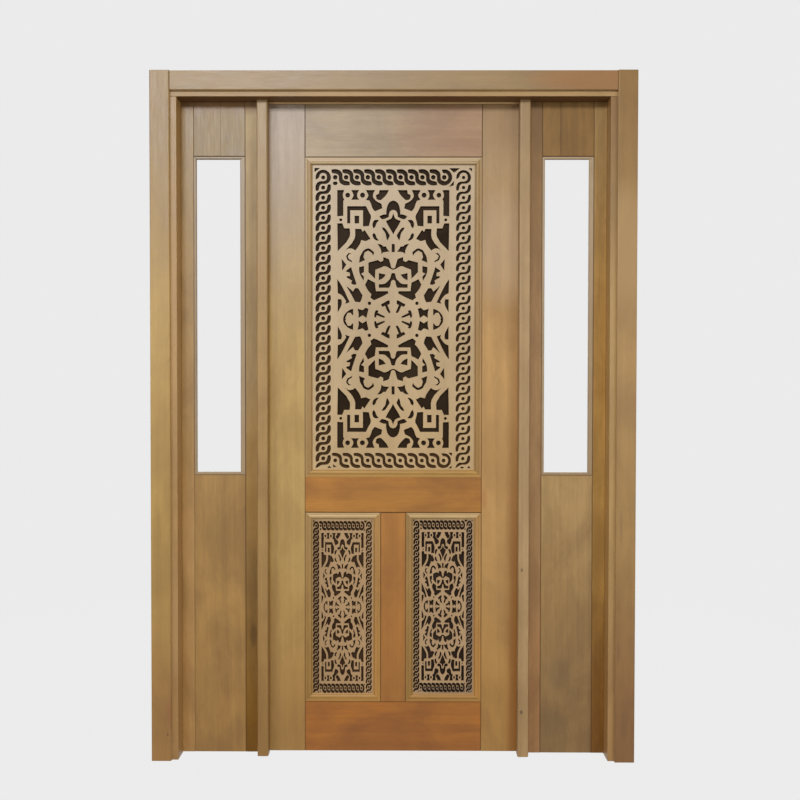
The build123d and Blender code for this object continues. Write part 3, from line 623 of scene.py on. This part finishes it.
# Knots, scratches and patches, and some painted shade and painted sheen: centre in metres, half sizes in
# millimetres, strength and tone
marks_and_painted_light = {
    "post_right": [(0.4136, 0.605, 5, 8, 0.7, "4A3018"), (0.4136, 0.146, 6, 9, 0.8, "4A3018")],
    "post_left": [(-0.437, 0.879, 14, 1.6, 0.5, "5A4020"), (-0.437, 0.935, 14, 50, 0.3, "6A4A20")],
    "casing_left": [(-0.716, 0.085, 2.5, 6, 0.9, "3A2010"), (-0.705, 0.16, 20, 80, 0.4, "8A5230")],
    "casing_right": [(0.715, 0.35, 7, 45, 0.4, "6A4428"), (0.722, 0.75, 5, 80, 0.3, "6A4830"),
                     (0.735, 0.12, 14, 60, 0.3, "5E4026"), (0.73, 1.64, 90, 240, 0.5, "AE8C58")],
    "jamb_left": [(-0.692, 0.43, 40, 210, 0.35, "C09864")],
    # The darker right ends of the head casing and the top rail are painted shade
    "casing_head": [(0.64, 2.16, 260, 60, 0.6, "8A5418")],
    "leaf_top_rail": [(0.25, 2.0, 300, 200, 0.3, "9A5A30")],
    # On the closing stile the dark patch at the top is painted shade, and the pale grey patch lower down is a
    # painted sheen
    "leaf_closing_stile": [(0.294, 0.833, 14, 45, 0.4, "A0622A"), (0.35, 2.1, 150, 190, 0.4, "7A5424"),
                           (0.35, 1.64, 150, 220, 0.35, "B29C80")],
    "sidelight_left_outer_stile": [(-0.66, 0.69, 60, 170, 0.35, "C89C60")],
    "sidelight_left_inner_stile": [(-0.454, 0.385, 14, 50, 0.45, "4A2E0C"),
                                   (-0.454, 0.9, 40, 330, 0.25, "B88A3C")],
    # The dark patch on the right sidelight's outer stile is painted shade beside the jamb
    "sidelight_right_outer_stile": [(0.66, 0.69, 60, 150, 0.4, "6A4414")],
    "sidelight_right_panel": [(0.539, 0.262, 50, 70, 0.3, "5A4426"), (0.5, 0.1, 70, 60, 0.25, "54401F")],
    "sidelight_left_panel": [(-0.57, 0.72, 60, 90, 0.25, "7A5E22"), (-0.6, 0.2, 40, 110, 0.2, "7A6028")],
}
# Shadow of the head on the left sidelight
under_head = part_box("sidelight_left_outer_stile")[1].z
for part, x in (("outer_stile", -0.66), ("top_rail", -0.57), ("inner_stile", -0.46)):
    marks_and_painted_light.setdefault(f"sidelight_left_{part}", []).append((x, under_head, 400, 45, 0.5, "6A3E14"))
# Boards whose varnish is duller
glosses = {"jamb_head": 0.35, "sidelight_left_inner_stile": 0.25, "sidelight_right_outer_stile": 0.3,
           "sidelight_right_top_rail": 0.3, "sidelight_right_inner_stile": 0.4}
for name, (foot, crown, along, shift, joints) in boards.items():
    in_sidelight = name.startswith("sidelight")
    contrast, blotch = (1.25, 2.2) if in_sidelight else (1.2, 2.8) if "rail" in name else (0.9, 1.6)
    board = wood(name, foot, crown, along, shift, joints, contrast, figure=0.4, end_grain_and_painted_light=painted_side_light.get(name),
                 blotch=blotch, painted_shade=painted_post_shade.get(name, ()), marks_and_painted_light=marks_and_painted_light.get(name, ()),
                 waist=waists.get(name), gloss=glosses.get(name, usual_gloss))
    finish_node(name, board)
    ease_edges(name, board_ease)


# Beads and panes

broad_width, broad_chamfer = 16 * mm, 2 * mm


def outer_edge(node, side):
    """Line where a bar meets the board round its opening."""
    low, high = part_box(node)
    return {"bottom": ("Z", low.z), "top": ("Z", high.z), "left": ("X", low.x), "right": ("X", high.x)}[side]


def broad_bead(node, material):
    """The bead on the right of a window is broader than the others; its ends are mitred, then butt."""
    low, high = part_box(node)
    width = high.x - low.x
    bm = bmesh.new()
    rim = [(0, low.z), (width, low.z + width), (broad_width, low.z + width), (broad_width, high.z - width),
           (width, high.z - width), (0, high.z)]
    push(bm, [(high.x - inwards, high.y, z) for inwards, z in rim], (0, low.y - high.y, 0))
    arris = Vector((high.x - broad_width, low.y))
    inner = [e for e in bm.edges if all((v.co.xy - arris).length < 1e-6 for v in e.verts)]
    bmesh.ops.bevel(bm, geom=inner, offset=broad_chamfer, affect="EDGES", segments=1, profile=0.5,
                    material=-1)
    keep(bm, node.replace("bead", "broad_bead"), "frame", material, [node])


pane_bead_tones = {"left": ("AA8E68", "907D62"), "right": ("92764F", "A69072")}
pane_bead_seams = {"bottom": 0.45, "top": 0.85, "left": 0.5, "right": 0.7}
pane_beads = (("bottom", "X", 41.0), ("top", "X", 42.0), ("outer", "Z", 43.0), ("inner", "Z", 44.0))
for side, outer, inner in (("left", "left", "right"), ("right", "right", "left")):
    for edge, along, shift in pane_beads:
        name = f"sidelight_{side}_bead_{edge}"
        faces = {"outer": outer, "inner": inner}.get(edge, edge)
        seams = [(*outer_edge(name, faces), pane_bead_seams[faces])]
        bead = wood(name, *pane_bead_tones[side], along, shift, seams)
        finish_node(name, bead)
        if (side, edge) in (("left", "inner"), ("right", "outer")):
            broad_bead(name, bead)
        else:
            ease_edges(name, bead_ease)
pane = clear_pane()
for name in ("sidelight_left_glass", "sidelight_right_glass"):
    finish_node(name, pane)
window_half_width, window_half_height = 0.187, 0.428
window_rim = ((leaf_left + leaf_right) / 2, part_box("upper_glass")[0].y, (upper_bottom + upper_top) / 2,
              window_half_width, window_half_height, "4A3520")
backings = {"upper": dark_pane("dark_glass", "2A1E13", "35291D", window_rim),
            "lower_left": dark_pane("brown_glass", "3A2918", "463424"),
            "lower_right": dark_pane("grey_brown_glass", "2A2018", "372C22")}


# The leaf's infill

bead_tones = (("bottom", "X", "A87B38", "AE8A42"), ("top", "X", "C4A066", "B0966E"),
              ("left", "Z", "99722F", "A48A5E"), ("right", "Z", "B5833C", "96784A"))
bead_seams = {"bottom": 0.15, "top": 0.8, "left": 0.35, "right": 0.45}
# Smoothness of curves, shift of the grain, tones, shift and trim of the drawing in mm, runs, swell
infill = (("upper", 3, 50.0, "C09C60", "B09C80", (-1.0, -4.9), (2.0, 2.25), upper_runs, 0.0),
          ("lower_left", 2, 60.0, "A98860", "AD8E66", (-2.0, -2.8), (0, 0), lower_runs, 0.2),
          ("lower_right", 2, 70.0, "AC8C66", "B0926C", (-1.5, 0.6), (0, 0), lower_runs, 0.6))
# The borders of the lower panels are darker and greyer
lower_right = face_edges("lower_right")[1]
border_middle = 36 * mm
fret_spots = {"lower_left": [(lower_left + border_middle, 0.47, 17, 420, 0.2, "5A4630")],
              "lower_right": [(lower_right - border_middle, 0.47, 17, 420, 0.55, "403C3C"),
                              (lower_right - 110 * mm, lower_bottom + border_middle, 130, 16, 0.4, "46423E")]}
for opening, smoothness, shift, foot, crown, settle, trim, runs, swell in infill:
    finish_node(f"{opening}_glass", backings[opening])
    for side, along, bead_foot, bead_crown in bead_tones:
        low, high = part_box(f"{opening}_moulding_{side}")
        outer = outer_edge(f"{opening}_moulding_{side}", side)
        # Painted shade: a darker golden band on the sloping flank of the upper opening's two upright bars
        shaded_flank_x = {"left": low.x + 17 * mm, "right": high.x - 14 * mm}.get(side) if opening == "upper" else None
        painted_flank_shade = [(shaded_flank_x, (low.z + high.z) / 2, 10, 3000, 0.5, "86621C")] if shaded_flank_x else ()
        # The bar's faces that don't look to the front are darkened: painted shade on its slopes
        bar = wood(f"{opening}_bead_{side}", bead_foot, bead_crown, along, shift + len(side),
                   [(*outer, bead_seams[side])], end_grain_and_painted_light=(0.4, "5A3C18"), marks_and_painted_light=painted_flank_shade)
        moulding(f"{opening}_bead_{side}", opening, side, bar)
    # The plate's cut walls are darker: end grain, and also painted shade
    face = wood(f"{opening}_fret", foot, crown, "Z", shift, contrast=0.55, figure=0.2, end_grain_and_painted_light=(0.85, "4A2E1A"),
                marks_and_painted_light=fret_spots.get(opening, ()))
    fretwork(opening, face, smoothness, Vector(settle) * mm, Vector(trim) * mm, runs, swell)


# Hinges

hinge_finish = brass()
knuckle_radius, pin_radius, plate_thickness = 5.95 * mm, 3.4 * mm, 2.0 * mm
knuckle_ease, pin_ease = 0.5 * mm, 1.2 * mm
barrel_radius, knuckle_play, half_gap, plate_reach = 6 * mm, 0.3 * mm, 1.5 * mm, 6.5 * mm
# Screws of a plate, in millimetres from its front edge and its middle
screws = ((8, 38), (20, 18), (20, -18), (8, -38))
# A head stands proud by this share of the plate's thickness
screw_radius, screw_proud = 3.6 * mm, 0.12


def rod(bm, x, y, low, high, radius, ease):
    """A smooth upright rod with eased ends."""
    made = bmesh.ops.create_cone(bm, cap_ends=True, segments=32, radius1=radius, radius2=radius,
                                 depth=high - low)
    bmesh.ops.translate(bm, vec=(x, y, (low + high) / 2), verts=made["verts"])
    rims = {e for v in made["verts"] for e in v.link_edges if abs(e.verts[0].co.z - e.verts[1].co.z) < 1e-7}
    bmesh.ops.bevel(bm, geom=list(rims), offset=ease, affect="EDGES", segments=2, profile=0.5, material=-1)


def slotted_head(bm, x, y, z, proud, radius):
    """A screw's flat head: two half discs with the slot between them."""
    for side in (1, -1):
        rim = on_ring((0, 0), radius, range(12, 169, 13))
        push(bm, [(x, y + side * a, z + side * b) for a, b in rim], (proud, 0, 0))


def hinge_half(level, half):
    """A plate let in flush, its tab, its knuckle and four slotted screws."""
    node = f"hinge_{level}_{half}_half"
    low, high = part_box(node)
    on_leaf = half == "leaf"
    side = 1 if on_leaf else -1
    axis_x, axis_y, middle = (low.x + high.x) / 2, high.y - barrel_radius, (low.z + high.z) / 2
    knuckle = (middle + knuckle_play, high.z) if on_leaf else (low.z, middle - knuckle_play)
    face_x = axis_x + side * half_gap
    inwards = side * plate_thickness
    back = axis_y - plate_reach
    rim = [(low.y, low.z), (back, low.z), (back, knuckle[0]), (axis_y, knuckle[0]), (axis_y, knuckle[1]),
           (back, knuckle[1]), (back, high.z), (low.y, high.z)]
    rim = [at for k, at in enumerate(rim) if at != rim[k - 1]]
    bm = bmesh.new()
    push(bm, [(face_x, y, z) for y, z in rim], (inwards, 0, 0))
    rod(bm, axis_x, axis_y, knuckle[0], knuckle[1], knuckle_radius, knuckle_ease)
    for across, up in screws:
        slotted_head(bm, face_x, low.y + across * mm, middle + up * mm, -screw_proud * inwards, screw_radius)
    keep(bm, f"{half}_hinge_{level}", half, hinge_finish, [node], smooth=30)


pins = bmesh.new()
for level in ("top", "middle", "bottom"):
    hinge_half(level, "leaf")
    hinge_half(level, "frame")
    low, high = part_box(f"hinge_{level}_frame_half")
    rod(pins, (low.x + high.x) / 2, high.y - barrel_radius, low.z, high.z, pin_radius, pin_ease)
keep(pins, "hinge_pin_rods", "frame", hinge_finish, ["hinge_pins"], smooth=30)


# Floor, light and camera

fill_strength = 0.35


def studio_floor():
    """A pale floor that fades into the backdrop."""
    bm = bmesh.new()
    bmesh.ops.create_grid(bm, x_segments=8, y_segments=8, size=30)
    mesh = bpy.data.meshes.new("floor")
    bm.to_mesh(mesh)
    bm.free()
    floor = bpy.data.objects.new("floor", mesh)
    bpy.context.scene.collection.objects.link(floor)
    f = Finish("floor")
    pale = f.add("ShaderNodeBsdfDiffuse")
    f.put(tone("505050"), pale.inputs[0])
    shown = f.add("ShaderNodeEmission")
    path = f.add("ShaderNodeLightPath")
    seen = f.sum("MAXIMUM", path.outputs["Is Camera Ray"], path.outputs["Is Glossy Ray"])
    seen = f.sum("MAXIMUM", seen, path.outputs["Is Transmission Ray"])
    reach = f.add("ShaderNodeVectorMath", operation="LENGTH")
    f.put(f.where, reach.inputs[0])
    away = f.spread(reach.outputs["Value"], 0.9, 2.6)
    f.put(f.blend(away, tone("FCFCFC"), tone(backdrop)), shown.inputs[0])
    share = f.spread(away, 0.0, 1.0, 0.85, 1.0, "LINEAR")
    mixed = f.add("ShaderNodeMixShader")
    f.put(f.sum("MULTIPLY", seen, share), mixed.inputs[0])
    f.put(pale.outputs[0], mixed.inputs[1])
    f.put(shown.outputs[0], mixed.inputs[2])
    f.put(mixed.outputs[0], f.tree.nodes["Material Output"].inputs[0])
    mesh.materials.append(f.material)


def studio_world():
    """White light all round; the camera, the panes and the varnish see the plain backdrop instead."""
    world = bpy.data.worlds.new("studio")
    bpy.context.scene.world = world
    world.use_nodes = True
    tree = world.node_tree
    fill = tree.nodes["Background"]
    fill.inputs[0].default_value = tone("FFFFFF")
    fill.inputs[1].default_value = fill_strength
    shown = tree.nodes.new("ShaderNodeBackground")
    shown.inputs[0].default_value = tone(backdrop)
    path = tree.nodes.new("ShaderNodeLightPath")
    seen = path.outputs["Is Camera Ray"]
    for name in ("Is Glossy Ray", "Is Transmission Ray"):
        most = tree.nodes.new("ShaderNodeMath")
        most.operation = "MAXIMUM"
        tree.links.new(seen, most.inputs[0])
        tree.links.new(path.outputs[name], most.inputs[1])
        seen = most.outputs[0]
    mixed = tree.nodes.new("ShaderNodeMixShader")
    tree.links.new(seen, mixed.inputs[0])
    tree.links.new(fill.outputs[0], mixed.inputs[1])
    tree.links.new(shown.outputs[0], mixed.inputs[2])
    tree.links.new(mixed.outputs[0], tree.nodes["World Output"].inputs[0])


def soft_light(name, at, towards, width, height, watts, matt=True, gloss=True):
    """A soft box; it may light only the matt wood, or show only as sheen on the varnish."""
    lamp = bpy.data.lights.new(name, "AREA")
    lamp.shape, lamp.size, lamp.size_y, lamp.energy = "RECTANGLE", width, height, watts
    holder = bpy.data.objects.new(name, lamp)
    holder.location = at
    holder.visible_diffuse, holder.visible_glossy = matt, gloss
    holder.rotation_euler = (Vector(towards) - Vector(at)).to_track_quat("-Z", "Y").to_euler()
    bpy.context.scene.collection.objects.link(holder)


# The camera's place, its turn, tilt and roll in degrees, and its sensor and focal length in millimetres
eye, turn, tilt, roll = (0.0346, -2.6798, 1.1974), 0.277, -1.0, 0.078
sensor_width, focal_length = 36, 37.333


def camera():
    lens = bpy.data.cameras.new("camera")
    lens.sensor_width, lens.lens = sensor_width, focal_length
    lens.clip_start, lens.clip_end = 0.05, 200
    eye_point = bpy.data.objects.new("camera", lens)
    turned = Matrix.Rotation(radians(turn), 4, "Z")
    tilted = Matrix.Rotation(radians(90 + tilt), 4, "X")
    rolled = Matrix.Rotation(radians(roll), 4, "Z")
    eye_point.matrix_world = Matrix.Translation(eye) @ turned @ tilted @ rolled
    bpy.context.scene.collection.objects.link(eye_point)
    bpy.context.scene.camera = eye_point


studio_floor()
studio_world()
soft_light("front_light", (-0.3, -5.8, 4.3), (0, 0, 1.2), 2.4, 1.3, 244, gloss=False)
soft_light("sheen_light", (-1.7, -5.8, 4.3), (0, 0, 1.2), 2.4, 1.3, 250, matt=False)
soft_light("right_light", (3.4, -3.4, 1.7), (-0.7, 0, 1.3), 1.6, 1.8, 55)
soft_light("left_light", (-3.4, -3.4, 1.7), (0.7, 0, 1.3), 1.6, 1.8, 44)
camera()
bpy.context.scene.view_settings.view_transform = "Standard"
